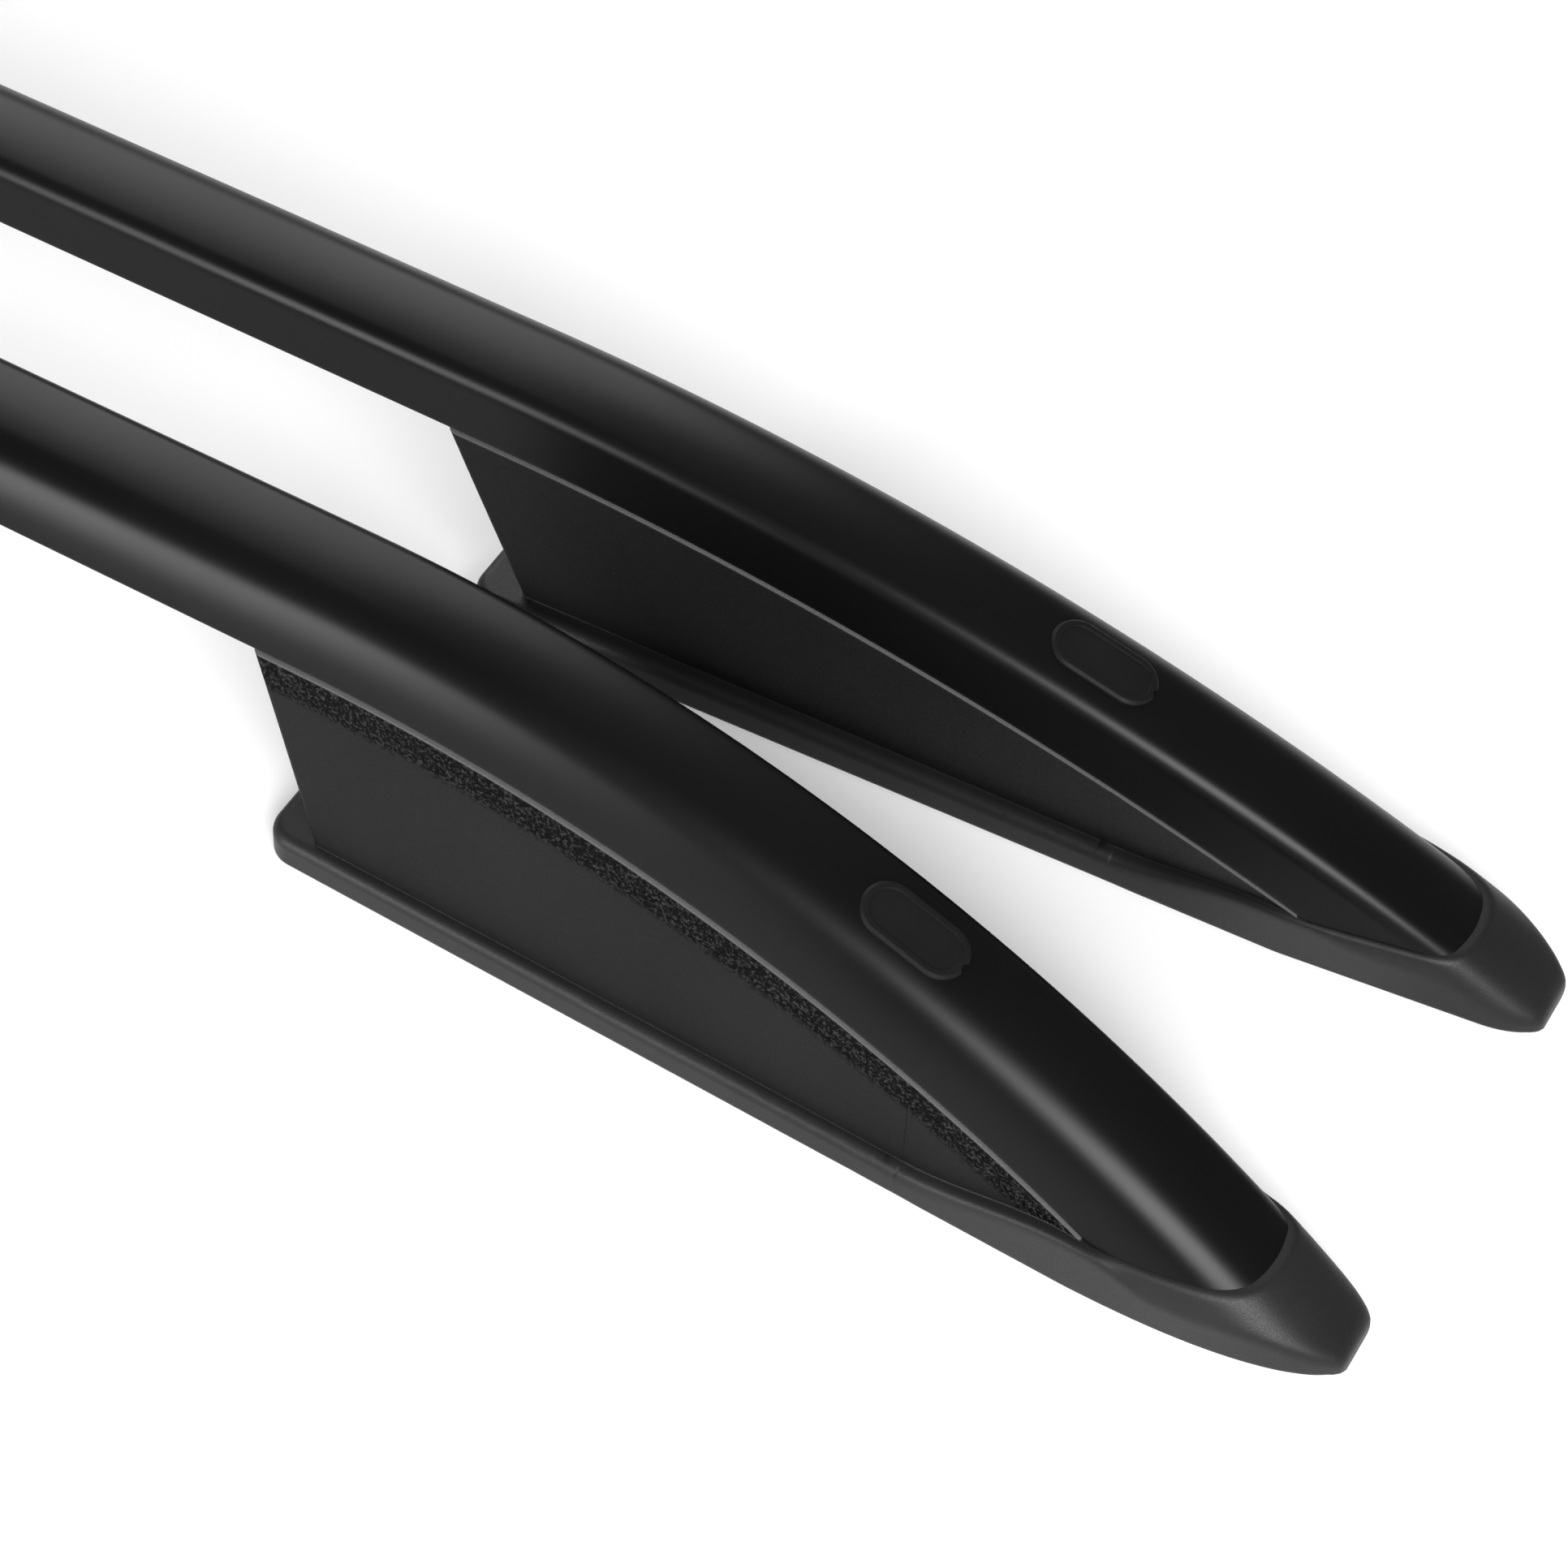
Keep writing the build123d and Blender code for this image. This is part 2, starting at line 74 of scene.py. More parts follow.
# Steps of the grids: along the rail, round its section, round the nose and along the foot's front end
EVEN_TURN, TURN_STEPS, END_STEPS, RUN_STEPS = math.radians(28), 70, 20, 6
WALL_STEPS, RIDGE_STEPS, CROWN_STEPS, ROLL_STEPS, CORNER_STEPS, FLAT_STEPS = 14, 10, 20, 16, 6, 36
TOP_STEPS, RING_STEPS, FLOOR_STEPS, TIP_STEPS, WEB_STEPS = 160, 90, 6, 8, 24
NOSE_RUNS = (
    (RISE_START + JOINT_LAP, RISE_END, 22),
    (RISE_END, 30, 26),
    (30, 12, 26),
    (12, TIP_ROUND, 12),
)

# Painted marks on the web in metres below the rail's lower edge: a flecked band of painted shadow from the
# rail over the plastic's grain, and a painted highlight line along the web's top edge
SHADOW_BAND_WIDTH, SHADOW_BAND_FADE, SHADOW_BAND_RAGGED, HIGHLIGHT_LINE_START, HIGHLIGHT_LINE_END = 0.013, 0.003, 0.008, 0.001, 0.0016

# Studio in metres and degrees; the camera has the photograph's viewing angle
FLOOR_REACH, FLOOR_Z = 12, -0.0002
LAMP_AIM = (0.55, 0.0, 0.05)
CAMERA_PLACE, CAMERA_DOWN, CAMERA_TURN, CAMERA_LENS = (0.8645, -0.5014, 0.7897), 52.46, 30.91, 89.68


# Materials, all from shader nodes, with object coordinates in metres
class Surface:
    """A node material: a Principled shader with helpers for noise, ramps, sums and bump."""

    COLOUR_A, COLOUR_B, COLOUR_OUT = 6, 7, 2

    def __init__(self, name, specular=0.5, **settings):
        self.material = bpy.data.materials.new(name)
        self.material.use_nodes = True
        self.tree = self.material.node_tree
        self.shader = self.tree.nodes["Principled BSDF"]
        self.shader.inputs["Specular IOR Level"].default_value = specular
        for socket, value in settings.items():
            self.shader.inputs[socket].default_value = value
        self.place = self.tree.nodes.new("ShaderNodeTexCoord").outputs["Object"]

    def feed(self, socket, value):
        """Join another node's output to a socket, or set the socket to a plain value."""
        if isinstance(value, bpy.types.NodeSocket):
            self.tree.links.new(value, socket)
        else:
            socket.default_value = value

    def node(self, kind, **inputs):
        made = self.tree.nodes.new(kind)
        for socket, value in inputs.items():
            self.feed(made.inputs[socket], value)
        return made

    def link(self, value, socket):
        self.tree.links.new(value, self.shader.inputs[socket])

    def noise(self, scale, detail=3.0, rough=0.55, stretch=(1, 1, 1)):
        grid = self.node("ShaderNodeMapping", Vector=self.place, Scale=stretch).outputs[0]
        made = self.node("ShaderNodeTexNoise", Vector=grid, Scale=scale, Detail=detail, Roughness=rough)
        return made.outputs["Fac"]

    def span(self, value, low, high, start=0.3, end=0.7):
        """Value carried from the range start to end over to the range low to high."""
        made = self.node("ShaderNodeMapRange", Value=value)
        made.inputs["From Min"].default_value = start
        made.inputs["From Max"].default_value = end
        made.inputs["To Min"].default_value = low
        made.inputs["To Max"].default_value = high
        return made.outputs[0]

    def sums(self, operation, *values):
        made = self.tree.nodes.new("ShaderNodeMath")
        made.operation = operation
        for socket, value in zip(made.inputs, values):
            self.feed(socket, value)
        return made.outputs[0]

    def tint(self, value, dark, light, start=0.3, end=0.7):
        """Colour ramp from dark at start to light at end."""
        ramp = self.node("ShaderNodeValToRGB", Fac=value)
        ramp.color_ramp.elements[0].position = start
        ramp.color_ramp.elements[1].position = end
        ramp.color_ramp.elements[0].color = (*dark, 1)
        ramp.color_ramp.elements[1].color = (*light, 1)
        return ramp.outputs[0]

    def mix(self, share, under, over):
        """Colour that goes from under to over as the share goes from zero to one."""
        made = self.node("ShaderNodeMix", Factor=share)
        made.data_type = "RGBA"
        self.feed(made.inputs[self.COLOUR_A], under)
        self.feed(made.inputs[self.COLOUR_B], over)
        return made.outputs[self.COLOUR_OUT]

    def bump(self, *layers, edge=0.0):
        """Stack bump layers of (height, strength, distance), over rounded edges where edge is set."""
        normal = self.node("ShaderNodeBevel", Radius=edge).outputs[0] if edge else None
        for height, strength, distance in layers:
            made = self.node("ShaderNodeBump", Height=height, Strength=strength, Distance=distance)
            if normal:
                self.tree.links.new(normal, made.inputs["Normal"])
            normal = made.outputs[0]
        self.link(normal, "Normal")


def grey(value):
    return (value, value, value)


def rail_coat():
    s = Surface("rail_coat", specular=0.13)
    cloud = s.noise(14, detail=2)
    grain = s.noise(1900, detail=2)
    s.link(s.tint(cloud, grey(0.002), grey(0.0027)), "Base Color")
    s.link(s.span(cloud, 0.32, 0.37), "Roughness")
    s.bump((grain, 0.05, 0.0001), edge=0.0006)
    return s.material


def foot_plastic():
    s = Surface("foot_plastic", specular=0.22)
    cloud = s.noise(30, detail=3)
    grain = s.noise(2200, detail=3, rough=0.65)
    s.link(s.tint(cloud, grey(0.0065), grey(0.009)), "Base Color")
    s.link(s.span(grain, 0.4, 0.54), "Roughness")
    s.bump((grain, 0.22, 0.00025), edge=0.0007)
    return s.material


def rail_edge(s):
    """Depth of a place on the web below the rail's lower edge, and 1 on outer sides or -1 on inner ones."""
    place = s.node("ShaderNodeSeparateXYZ", Vector=s.place).outputs
    normal = s.node("ShaderNodeNewGeometry").outputs["Normal"]
    facing = s.node("ShaderNodeSeparateXYZ", Vector=normal).outputs
    outside = s.sums("SIGN", s.sums("MULTIPLY", facing["Y"], place["Y"]))
    past = s.sums("SUBTRACT", s.sums("ABSOLUTE", place["X"]), BEND_X / MM)
    past = s.sums("MAXIMUM", past, 0.0)
    # The lower edges bend on a smaller radius outside and a larger one inside
    radius = s.sums("ADD", s.sums("MULTIPLY", outside, -HALF * SIN_L / MM), BEND_R / MM)
    squares = s.sums("SUBTRACT", s.sums("MULTIPLY", radius, radius), s.sums("MULTIPLY", past, past))
    drop = s.sums("MULTIPLY", s.sums("SUBTRACT", radius, s.sums("SQRT", squares)), COS_L)
    depth = s.sums("SUBTRACT", s.sums("SUBTRACT", UNDERSIDE / MM, drop), place["Z"])
    return depth, outside


def web_plastic():
    """Flat side of the foot, with a painted highlight along its upper edge and, on outer sides below it, a
    darker flecked band of painted shadow from the rail over the plastic's grain.
    """
    s = Surface("web_plastic")
    cloud = s.noise(25, detail=3)
    grain = s.noise(2400, detail=3, rough=0.65)
    fleck = s.noise(1000, detail=4, rough=0.7)
    depth, outside = rail_edge(s)
    # Painted highlight: a light grey line along the web's top edge, just below the shadow gap under the rail
    painted_highlight_line = s.span(depth, 1.0, 0.0, HIGHLIGHT_LINE_START, HIGHLIGHT_LINE_END)
    # Painted shadow of the rail: a darker band with a ragged lower edge under the rail's lower edge, on
    # outer sides only and with less reflection; its flecks follow the plastic's grain
    ragged = s.sums("MULTIPLY", s.sums("SUBTRACT", fleck, 0.5), SHADOW_BAND_RAGGED)
    painted_shadow_band = s.span(s.sums("ADD", depth, ragged), 1.0, 0.0, SHADOW_BAND_WIDTH - SHADOW_BAND_FADE, SHADOW_BAND_WIDTH)
    painted_shadow_band = s.sums("MULTIPLY", painted_shadow_band, s.sums("MAXIMUM", outside, 0.0))
    plain = s.tint(cloud, grey(0.004), grey(0.0053))
    flecked_shade = s.tint(fleck, grey(0.0008), grey(0.045), 0.5, 0.77)
    shadow_banded = s.mix(painted_shadow_band, plain, flecked_shade)
    # The painted highlight line is laid over the painted shadow band and the plain web
    s.link(s.mix(painted_highlight_line, shadow_banded, (*grey(0.08), 1)), "Base Color")
    s.link(s.span(painted_shadow_band, 0.1, 0.028, 0, 1), "Specular IOR Level")
    s.link(s.span(grain, 0.52, 0.7), "Roughness")
    s.bump((grain, 0.22, 0.00025), (s.sums("MULTIPLY", fleck, painted_shadow_band), 0.4, 0.0006), edge=0.0006)
    return s.material


def cap_plastic():
    s = Surface("cap_plastic", specular=0.1)
    cloud = s.noise(60, detail=3)
    grain = s.noise(3000, detail=2, rough=0.6)
    s.link(s.tint(cloud, grey(0.004), grey(0.0055)), "Base Color")
    s.link(s.span(grain, 0.46, 0.58), "Roughness")
    s.bump((grain, 0.15, 0.0002), edge=0.0004)
    return s.material


def pad_rubber():
    s = Surface("pad_rubber")
    grain = s.noise(1500, detail=4)
    s.link(s.tint(grain, grey(0.006), grey(0.012)), "Base Color")
    s.link(s.span(grain, 0.78, 0.92), "Roughness")
    s.bump((grain, 0.3, 0.0003))
    return s.material


def plated_steel():
    s = Surface("plated_steel", Metallic=1.0)
    streak = s.noise(300, detail=3, stretch=(1, 1, 14))
    s.link(s.tint(streak, (0.52, 0.53, 0.55), (0.66, 0.67, 0.69)), "Base Color")
    s.link(s.span(streak, 0.28, 0.42), "Roughness")
    s.bump((streak, 0.06, 0.0001), edge=0.0002)
    return s.material


def floor_paper():
    """White paper that glows softly."""
    s = Surface("paper", specular=0.1, Roughness=0.9)
    s.link(s.tint(s.noise(3), grey(0.62), grey(0.65)), "Base Color")
    s.shader.inputs["Emission Color"].default_value = (1, 1, 1, 1)
    s.shader.inputs["Emission Strength"].default_value = 0.2
    return s.material


finishes = {
    "rail": rail_coat(),
    "foot": foot_plastic(),
    "web": web_plastic(),
    "cap": cap_plastic(),
    "pad": pad_rubber(),
    "sleeve": plated_steel(),
}
finishes["nut"] = finishes["screw"] = finishes["sleeve"]
for name, node in nodes.items():
    node.data.materials.clear()
    node.data.materials.append(finishes[name.split("_")[0]])


def piece(name, shell):
    """Object from a bmesh, smooth but for sharp edges."""
    mesh = bpy.data.meshes.new(name)
    shell.to_mesh(mesh)
    shell.free()
    mesh.shade_smooth()
    mesh.set_sharp_from_angle(angle=SHARP_ANGLE)
    made = bpy.data.objects.new(name, mesh)
    bpy.context.collection.objects.link(made)
    return made


# Rails: the solid's section and bend on a finer grid, so that long highlights run smoothly
def circle_through(a, b, c):
    """Centre of the circle through three points."""
    d = 2 * (a[0] * (b[1] - c[1]) + b[0] * (c[1] - a[1]) + c[0] * (a[1] - b[1]))
    sq = [p[0] ** 2 + p[1] ** 2 for p in (a, b, c)]
    x = (sq[0] * (b[1] - c[1]) + sq[1] * (c[1] - a[1]) + sq[2] * (a[1] - b[1])) / d
    y = (sq[0] * (c[0] - b[0]) + sq[1] * (a[0] - c[0]) + sq[2] * (b[0] - a[0])) / d
    return x, y


def next_centre(centre, start, end):
    """Centre of the arc that leaves start tangent to the arc round centre and passes end."""
    to = (centre[0] - start[0], centre[1] - start[1])
    size = math.hypot(*to)
    normal = (to[0] / size, to[1] / size)
    chord = (end[0] - start[0], end[1] - start[1])
    radius = (chord[0] ** 2 + chord[1] ** 2) / (2 * (normal[0] * chord[0] + normal[1] * chord[1]))
    return start[0] + normal[0] * radius, start[1] + normal[1] * radius


def arc(centre, radius, start, end, steps):
    """Points on an arc between two headings in radians, without the last."""
    return [
        (centre[0] + radius * math.cos(start + (end - start) * k / steps),
         centre[1] + radius * math.sin(start + (end - start) * k / steps))
        for k in range(steps)
    ]


def line(a, b, steps):
    """Points on a straight line, without the last."""
    return [(a[0] + (b[0] - a[0]) * k / steps, a[1] + (b[1] - a[1]) * k / steps) for k in range(steps)]


def heading(centre, point):
    return math.atan2(point[1] - centre[1], point[0] - centre[0])


def toward(start, angle, distance):
    return start[0] + distance * math.cos(angle), start[1] + distance * math.sin(angle)


def ridge_centre(wall, crown, crown_r):
    """Centre of the ridge's rounding, which touches the wall and the crown from inside."""
    reach = crown_r - RIDGE_R
    base = toward((-HALF, 0), wall - math.pi / 2, RIDGE_R)
    way = (math.cos(wall), math.sin(wall))
    off = (base[0] - crown[0], base[1] - crown[1])
    half_b = off[0] * way[0] + off[1] * way[1]
    run = -half_b + math.sqrt(half_b ** 2 - (off[0] ** 2 + off[1] ** 2 - reach ** 2))
    return base[0] + way[0] * run, base[1] + way[1] * run


def rail_section(inset):
    """Closed loop of section points from the inner wall's foot over the top, drawn in by an inset."""
    wall = math.atan2(RIDGE[1], RIDGE[0] + HALF)
    turn = math.pi / 2 + wall
    crown = circle_through(RIDGE, CROWN, SHOULDER)
    shoulder = next_centre(crown, SHOULDER, SIDE)
    side = next_centre(shoulder, SIDE, (HALF, 0))
    crown_r, shoulder_r, side_r = math.dist(crown, CROWN), math.dist(shoulder, SIDE), math.dist(side, SIDE)
    ridge = ridge_centre(wall, crown, crown_r)
    # Lower edges: small roundings on the inner wall and on the outer roll
    corner_r = LOWER_R - inset
    inner_run = (LOWER_R + LOWER_R * math.cos(wall)) / math.sin(wall)
    inner_out = -HALF + LOWER_R * math.sin(wall) + inner_run * math.cos(wall)
    outer_out = side[0] + math.sqrt((side_r - LOWER_R) ** 2 - (LOWER_R - side[1]) ** 2)
    corner_up = LOWER_R
    if inset > 0:
        inner_out += inset - LOWER_R + INNER_SHIFT
        outer_out -= inset - LOWER_R + INNER_SHIFT
        corner_up = inset + INNER_CORNER
        corner_r = INNER_CORNER
    inner, outer = (inner_out, corner_up), (outer_out, corner_up)
    roll_end = heading(side, outer)
    ridge_turn, crown_turn = heading(crown, ridge), heading(crown, SHOULDER)
    shoulder_turns = heading(shoulder, SHOULDER), heading(shoulder, SIDE)
    return (
        line(toward(inner, turn, corner_r), toward(ridge, turn, RIDGE_R - inset), WALL_STEPS)
        + arc(ridge, RIDGE_R - inset, turn, ridge_turn, RIDGE_STEPS)
        + arc(crown, crown_r - inset, ridge_turn, crown_turn, CROWN_STEPS)
        + arc(shoulder, shoulder_r - inset, *shoulder_turns, ROLL_STEPS)
        + arc(side, side_r - inset, heading(side, SIDE), roll_end, ROLL_STEPS)
        + arc(outer, corner_r, roll_end, -math.pi / 2, CORNER_STEPS)
        + line((outer_out, corner_up - corner_r), (inner_out, corner_up - corner_r), FLAT_STEPS)
        + arc(inner, corner_r, -math.pi / 2, turn - 2 * math.pi, CORNER_STEPS)
    )


def from_pivot(out, up):
    """Distance of a section point from the bend's axis, and its place along that axis."""
    return BEND_R - out * SIN_L + up * COS_L, out * COS_L + up * SIN_L


def on_bend(out, up, angle):
    """Place of a section point at an angle round the end bend."""
    reach, side = from_pivot(out, up)
    return (
        BEND_X + reach * math.sin(angle),
        RAIL_Y + BEND_R * SIN_L - reach * math.cos(angle) * SIN_L + side * COS_L,
        UNDERSIDE - BEND_R * COS_L + reach * math.cos(angle) * COS_L + side * SIN_L,
    )


def end_angle(out, up):
    """Angle at which a section point meets the level cut of the rail's end."""
    reach, side = from_pivot(out, up)
    return math.acos((END_Z - UNDERSIDE + BEND_R * COS_L - side * SIN_L) / (reach * COS_L))


def rail_rows(loop):
    """Rows of places along a rail: the rear bend, the straight run and the front bend."""
    turns = [[EVEN_TURN * k / TURN_STEPS] * len(loop) for k in range(TURN_STEPS)]
    last = [end_angle(out, up) for out, up in loop]
    for k in range(END_STEPS + 1):
        turns.append([EVEN_TURN + (end - EVEN_TURN) * k / END_STEPS for end in last])
    front = [[on_bend(out, up, turn) for (out, up), turn in zip(loop, row)] for row in turns]
    rear = [[(-x, y, z) for x, y, z in row] for row in reversed(front)]
    stations = [BEND_X * k / RUN_STEPS for k in range(1 - RUN_STEPS, RUN_STEPS)]
    straight = [[(x, y, z) for _, y, z in front[0]] for x in stations]
    return rear + straight + front


def rail_skin(name, across):
    """Hollow rail as one mesh; across is 1 for the left rail and -1 for the right one."""
    skins = [rail_rows(rail_section(0)), rail_rows(rail_section(WALL))]
    around, along = len(skins[0][0]), len(skins[0])
    inside = along * around
    places = [place for skin in skins for row in skin for place in row]
    shell = bmesh.new()
    verts = [shell.verts.new((x / MM, across * y / MM, z / MM)) for x, y, z in places]
    for j in range(around):
        beside = (j + 1) % around
        for first in (0, inside):
            for i in range(first, first + inside - around, around):
                corners = (i + j, i + beside, i + around + beside, i + around + j)
                shell.faces.new([verts[k] for k in corners])
        for end in (0, inside - around):
            corners = (end + j, end + beside, end + beside + inside, end + j + inside)
            shell.faces.new([verts[k] for k in corners])
    bmesh.ops.recalc_face_normals(shell, faces=shell.faces)
    return piece(name, shell)


# Feet: the solid behind the rise, and in front of it the nose and the web's front end on finer grids
def falloff(distance, radius):
    """Share of a quarter round that has fallen away at a distance from its end."""
    share = max(0.0, 1 - distance / radius)
    return 1 - math.sqrt(1 - share ** 2)


def swell(distance, span):
    """Smooth hump of height one that ends at the span on either side."""
    return (1 + math.cos(math.pi * min(abs(distance) / span, 1))) / 2


def ease(share):
    """Smooth step from zero to one."""
    share = min(max(share, 0.0), 1.0)
    return share * share * (3 - 2 * share)


def outer_wall(back):
    run = (back - NOSE_LENGTH) / (FOOT_LENGTH - NOSE_LENGTH)
    if run > 0:
        return OUTER_MID + (OUTER_BACK - OUTER_MID) * run
    share = 1 - back / NOSE_LENGTH
    return TIP_OUTER + (OUTER_MID - TIP_OUTER) * (1 - share ** TIP_BOW) ** TIP_FULLNESS


def inner_wall(back):
    run = (back - NOSE_LENGTH) / (FOOT_LENGTH - NOSE_LENGTH)
    if run > 0:
        return INNER_MID + (INNER_BACK - INNER_MID) * run
    return INNER_MID + INNER_TAPER * (NOSE_LENGTH - back) + CHEEK_DEPTH * falloff(back, CHEEK_LENGTH)


def form_line(loop, x):
    """Bent section in the upright plane at x, as distances out of the rail's middle and heights."""
    points = []
    for out, up in loop:
        reach, side = from_pivot(out, up)
        fall = math.sqrt(reach ** 2 - (x - BEND_X) ** 2)
        height = UNDERSIDE - BEND_R * COS_L + fall * COS_L + side * SIN_L
        points.append((BEND_R * SIN_L - fall * SIN_L + side * COS_L, height))
    return points


def top_over(points, out):
    """Highest place of a closed line at a distance out, or zero beside it."""
    heights = [0.0]
    for start, end in zip(points, points[1:] + points[:1]):
        if min(start[0], end[0]) <= out < max(start[0], end[0]):
            heights.append(start[1] + (end[1] - start[1]) * (out - start[0]) / (end[0] - start[0]))
    return max(heights)


def even_points(points, count):
    """Points at even distances along an open line."""
    lengths = [0.0]
    for start, end in zip(points, points[1:]):
        lengths.append(lengths[-1] + math.dist(start, end))
    made, k = [], 0
    for step in range(count):
        place = lengths[-1] * step / (count - 1)
        while k < len(points) - 2 and lengths[k + 1] < place:
            k += 1
        share = (place - lengths[k]) / max(lengths[k + 1] - lengths[k], 1e-9)
        made.append(tuple(s + (e - s) * share for s, e in zip(points[k], points[k + 1])))
    return made


def softened(points, spread):
    """Line of even points with its corners rounded by a bell-weighted mean, three spreads wide each way."""
    gap = math.dist(points[0], points[1])
    reach = int(3 * spread / gap)
    weights = [math.exp(-0.5 * (k * gap / spread) ** 2) for k in range(-reach, reach + 1)]
    made = []
    for i in range(len(points)):
        total, out, up = 0.0, 0.0, 0.0
        hold = min(i, len(points) - 1 - i, reach)
        for k in range(-hold, hold + 1):
            weight = weights[reach + k]
            total += weight
            out += weight * points[i + k][0]
            up += weight * points[i + k][1]
        made.append((out / total, up / total))
    return made


def tuck(back):
    """Depth by which the drawn front end lies inside the solid where the two lap."""
    return JOINT_TUCK * ease((back - RISE_START + JOINT_RUN) / JOINT_RUN)


def nose_section(back, lip_loop):
    """Closed section of the nose: walls, a rim, and in front of it the rail's own form a lip further out."""
    place = max(back, TIP_ROUND)
    climb = ease((RISE_START - place) / (RISE_START - RISE_END))
    rim = BEAD_Z - tuck(place) + (RIM_Z - BEAD_Z) * climb
    shoulder = rim - SHOULDER_DROP * ease((RISE_END - place) / SHOULDER_RUN)
    inner = inner_wall(place) + tuck(place) + TIP_SLOPE * (place - back)
    outer = outer_wall(place) - tuck(place) - TIP_SLOPE * (place - back)
    draft = WALL_DRAFT * rim / RIM_Z * (1 - climb)
    top_in = inner + draft - INNER_FLARE * swell(place - INNER_PLACE, INNER_SPAN) * climb
    top_out = outer - draft + OUTER_FLARE * swell(place - OUTER_PLACE, OUTER_SPAN)
    form = form_line(lip_loop, TIP_X - back)

    def height(out):
        return max(min(rim, top_over(form, out)), shoulder, BASE_Z + 2 * LOWER_ROUND)

    low = BASE_Z + LOWER_ROUND
    across = [top_in + (top_out - top_in) * k / TOP_STEPS for k in range(TOP_STEPS + 1)]
    over = [(inner, low)] + [(out, height(out)) for out in across] + [(outer, low)]
    spread = NOSE_SOFT + BEAD_SOFT * (1 - climb) + TIP_SOFT * ease((TIP_SOFT_START - place) / TIP_SOFT_RUN)
    ring = softened(even_points(over, RING_STEPS), spread)
    quarter = [math.pi / 2 * k / FLOOR_STEPS for k in range(1, FLOOR_STEPS + 1)]
    ring += [toward((outer - LOWER_ROUND, low), -turn, LOWER_ROUND) for turn in quarter]
    ring += [toward((inner + LOWER_ROUND, low), math.pi + turn, LOWER_ROUND) for turn in reversed(quarter)]
    scale = 1 - TIP_SHRINK * falloff(back, TIP_ROUND)
    middle = (inner + outer) / 2
    return [(middle + (out - middle) * scale, BASE_Z + (up - BASE_Z) * scale) for out, up in ring]


def web_section(back):
    """Section of the web's front end, from inside the nose up to the shadow line under the rail."""
    edge_in, edge_out = form_line([(-HALF, 0), (HALF, 0)], TIP_X - back)
    foot_in, foot_out = inner_wall(back) + WEB_IN, outer_wall(back) - WEB_OUT
    ring = []
    for foot, (out, up), inward in ((foot_in, edge_in, 1), (foot_out, edge_out, -1)):
        start = foot + inward * tuck(back)
        side = [(start + (out - foot) * height / up, height) for height in (WEB_FOOT_Z, up - SHADOW_GAP)]
        ring += side if inward > 0 else reversed(side)
    return ring


def nose_backs():
    """Distances back of the nose's sections, closer together toward the tip."""
    backs = [start + (end - start) * k / count for start, end, count in NOSE_RUNS for k in range(count)]
    return backs + [TIP_ROUND * math.cos(math.pi / 2 * k / TIP_STEPS) for k in range(TIP_STEPS + 1)]


def web_backs():
    start = RISE_START + JOINT_LAP
    return [start + (WEB_END - start) * k / WEB_STEPS for k in range(WEB_STEPS + 1)]


def add_grid(shell, sections, along, across):
    """Closed skin over sections of (back, ring), for a foot at one end and side; gives its faces."""
    rows = []
    for back, ring in sections:
        places = [(along * (TIP_X - back), across * (RAIL_Y + out), up) for out, up in ring]
        rows.append([shell.verts.new([size / MM for size in place]) for place in places])
    faces = [shell.faces.new(rows[0]), shell.faces.new(rows[-1])]
    for row, ahead in zip(rows, rows[1:]):
        for k in range(len(row)):
            faces.append(shell.faces.new((row[k - 1], row[k], ahead[k], ahead[k - 1])))
    return faces


def foot_skin(name, along, across):
    """Foot as one mesh; along is 1 at the front and -1 at the rear, across as for the rails."""
    shell = bmesh.new()
    shell.from_mesh(nodes[name].data)
    joint = (along * (TIP_X - RISE_START) / MM, 0, 0)
    parts = shell.verts[:] + shell.edges[:] + shell.faces[:]
    bmesh.ops.bisect_plane(shell, geom=parts, plane_co=joint, plane_no=(along, 0, 0), clear_outer=True)
    lip_loop = rail_section(-LIP)
    nose = add_grid(shell, [(back, nose_section(back, lip_loop)) for back in nose_backs()], along, across)
    web = add_grid(shell, [(back, web_section(back)) for back in web_backs()], along, across)
    bmesh.ops.recalc_face_normals(shell, faces=nose + web)
    nose = set(nose)
    for face in shell.faces:
        on_web = face.calc_center_median().z > BEAD_Z / MM and face not in nose
        face.material_index = 1 if on_web else 0
    made = piece(f"{name}_skin", shell)
    made.data.materials.append(finishes["foot"])
    made.data.materials.append(finishes["web"])
    made.modifiers.new("even_normals", "WEIGHTED_NORMAL").keep_sharp = True
    return made


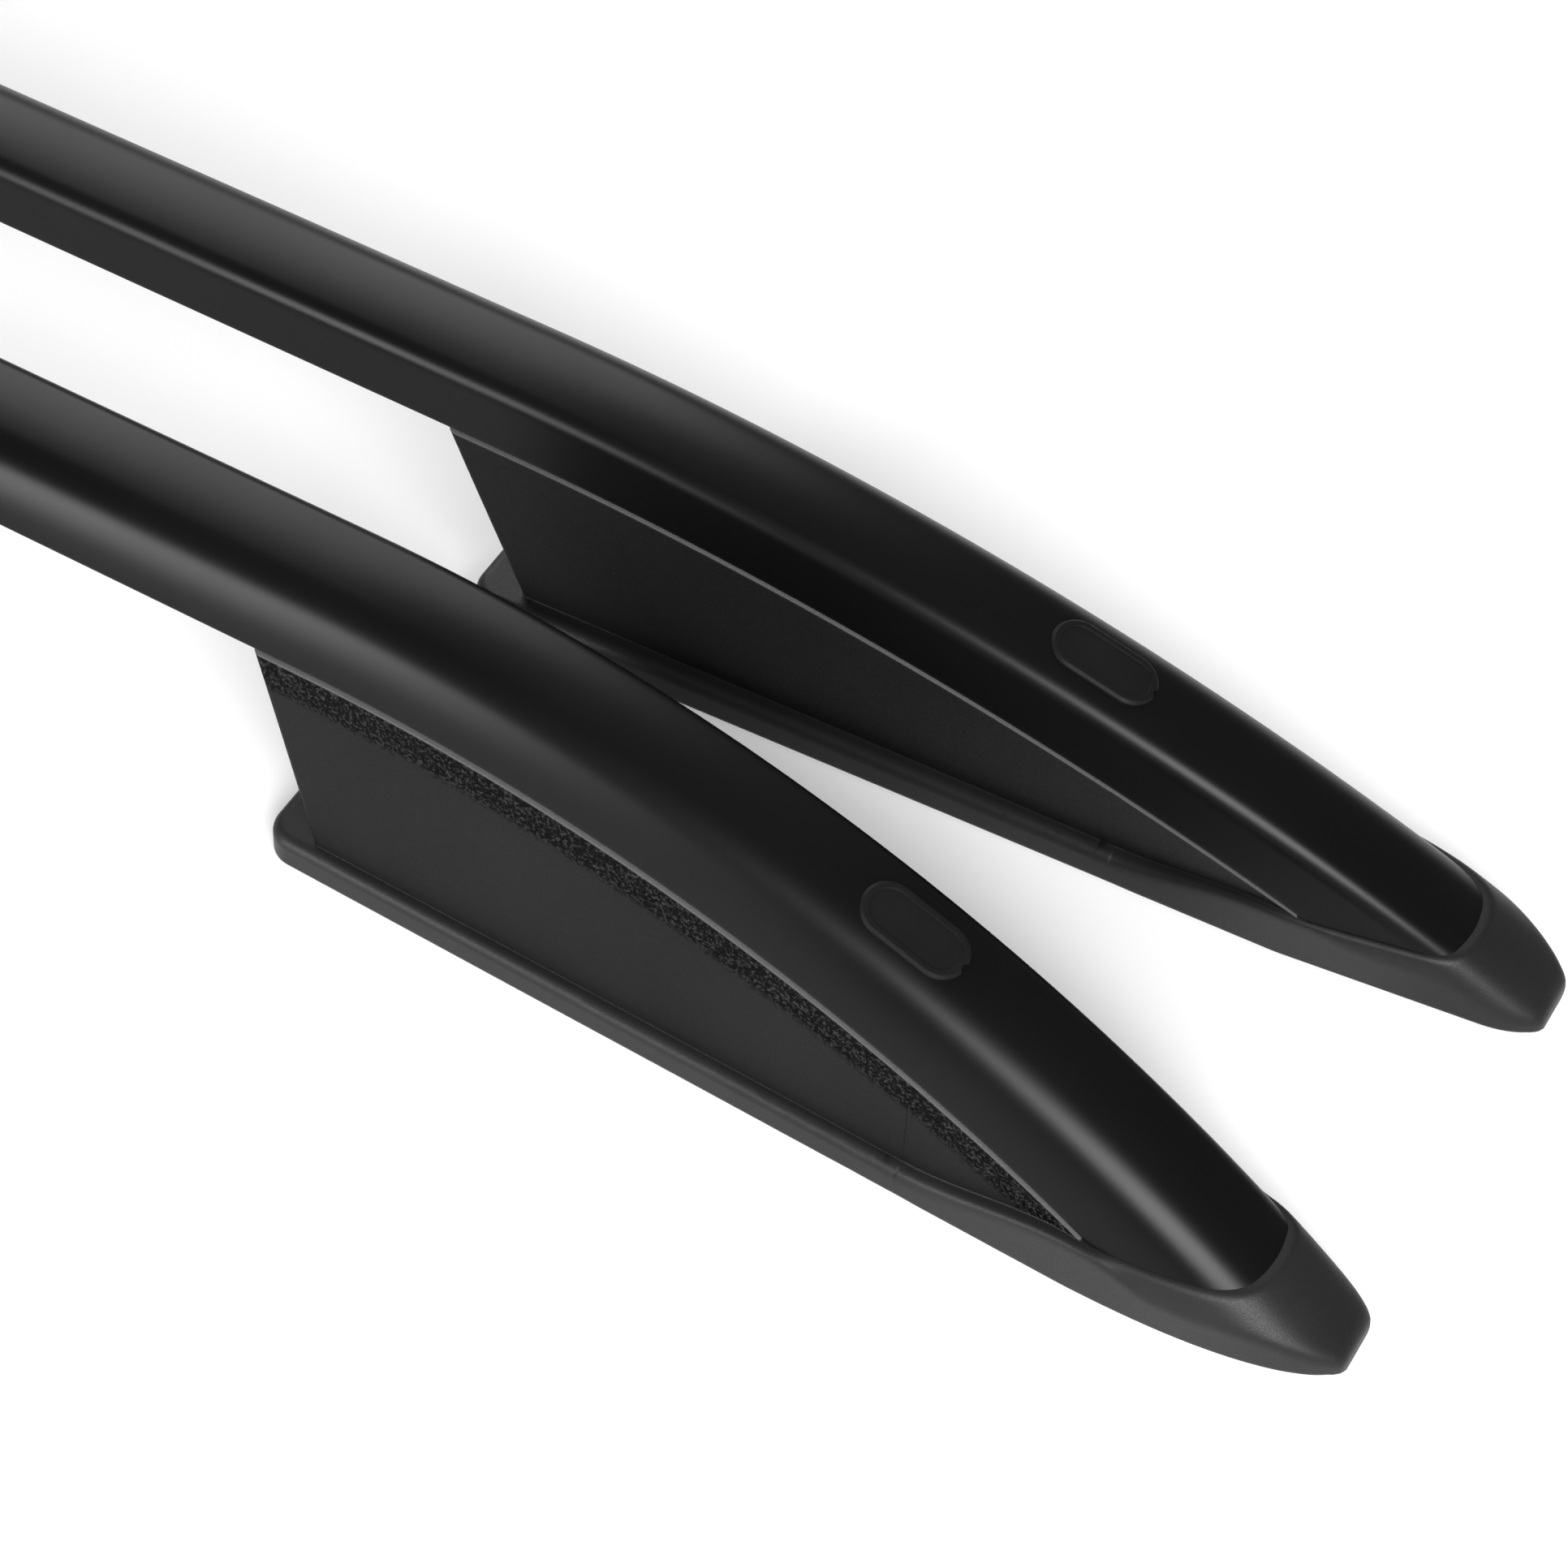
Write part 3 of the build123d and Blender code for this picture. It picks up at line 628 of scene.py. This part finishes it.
for side, across in (("left", 1), ("right", -1)):
    skin = rail_skin(f"rail_skin_{side}", across)
    skin.data.materials.append(finishes["rail"])
    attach(skin, "root")
    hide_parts(f"rail_{side}")
    for end, along in (("front", 1), ("rear", -1)):
        name = f"foot_{side}_{end}"
        skin = foot_skin(name, along, across)
        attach(skin, "root")
        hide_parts(name)

# Studio: a pale floor, a dim white world and three soft lights round the object
floor_mesh = bpy.data.meshes.new("floor")
corners = [(x * FLOOR_REACH, y * FLOOR_REACH, FLOOR_Z) for x, y in ((-1, -1), (1, -1), (1, 1), (-1, 1))]
floor_mesh.from_pydata(corners, [], [(0, 1, 2, 3)])
floor_mesh.materials.append(floor_paper())
floor = bpy.data.objects.new("floor", floor_mesh)
bpy.context.collection.objects.link(floor)

world = bpy.data.worlds.new("studio")
world.use_nodes = True
world.node_tree.nodes["Background"].inputs["Color"].default_value = (1, 1, 1, 1)
world.node_tree.nodes["Background"].inputs["Strength"].default_value = 0.22
bpy.context.scene.world = world


def lamp(name, place, size, power):
    """Rectangular soft light at a place, turned to the object's front end."""
    data = bpy.data.lights.new(name, "AREA")
    data.shape = "RECTANGLE"
    data.size, data.size_y = size
    data.energy = power
    made = bpy.data.objects.new(name, data)
    made.visible_camera = False
    bpy.context.collection.objects.link(made)
    made.location = place
    x, y, z = (aim - start for aim, start in zip(LAMP_AIM, place))
    made.rotation_euler = (math.pi / 2 + math.atan2(z, math.hypot(x, y)), 0, math.atan2(-x, y))


lamp("front_right", place=(1.5, -0.95, 1.05), size=(0.95, 0.7), power=54)
lamp("front_left", place=(-0.54, -1.8, 0.6), size=(0.8, 1.0), power=44)
lamp("back_left", place=(-0.75, 1.5, 1.4), size=(1.8, 1.5), power=40)

camera_data = bpy.data.cameras.new("camera")
camera_data.sensor_fit = "HORIZONTAL"
camera_data.sensor_width = 36
camera_data.lens = CAMERA_LENS
camera_data.clip_end = 50
camera = bpy.data.objects.new("camera", camera_data)
bpy.context.collection.objects.link(camera)
camera.location = CAMERA_PLACE
camera.rotation_euler = (math.radians(90 - CAMERA_DOWN), 0, math.radians(CAMERA_TURN))
bpy.context.scene.camera = camera
bpy.context.scene.view_settings.view_transform = "Standard"
